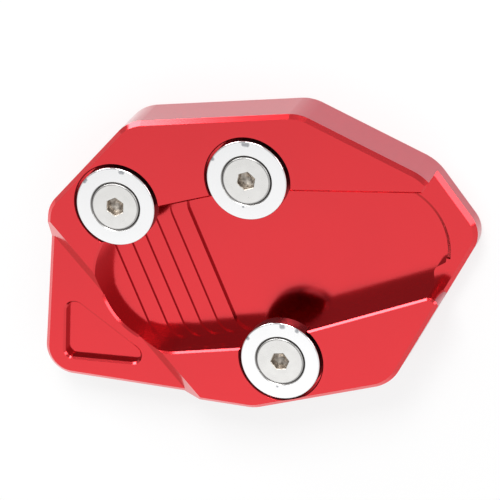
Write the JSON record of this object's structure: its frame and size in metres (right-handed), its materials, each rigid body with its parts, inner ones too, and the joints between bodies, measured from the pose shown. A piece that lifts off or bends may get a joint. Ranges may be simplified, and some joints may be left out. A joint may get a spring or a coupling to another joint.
{
  "type": "kickstand foot enlarger",
  "caption": "Milled foot plate that widens a motorcycle side stand's foot, with a terraced pocket, clamp washers and countersunk screws.",
  "frame": {"origin": "centre of the back face's bounding box, on the back face", "axes": "+Z out of the pocket side, through the plate's thickness; +X along the plate's length, towards the open end of the pocket; +Y towards the edge with two clamps"},
  "size_m": [0.1138, 0.0756, 0.0148],
  "materials": {
    "red_plate": "red anodised, fine satin",
    "clamp_washers": "bright turned",
    "clamp_screws": "plain stainless"
  },
  "bodies": {
    "root": {"base_plate": "red_plate", "washer_left": "clamp_washers", "washer_top": "clamp_washers", "washer_bottom": "clamp_washers", "screw_left": "clamp_screws", "screw_top": "clamp_screws", "screw_bottom": "clamp_screws"}
  },
  "joints": []
}
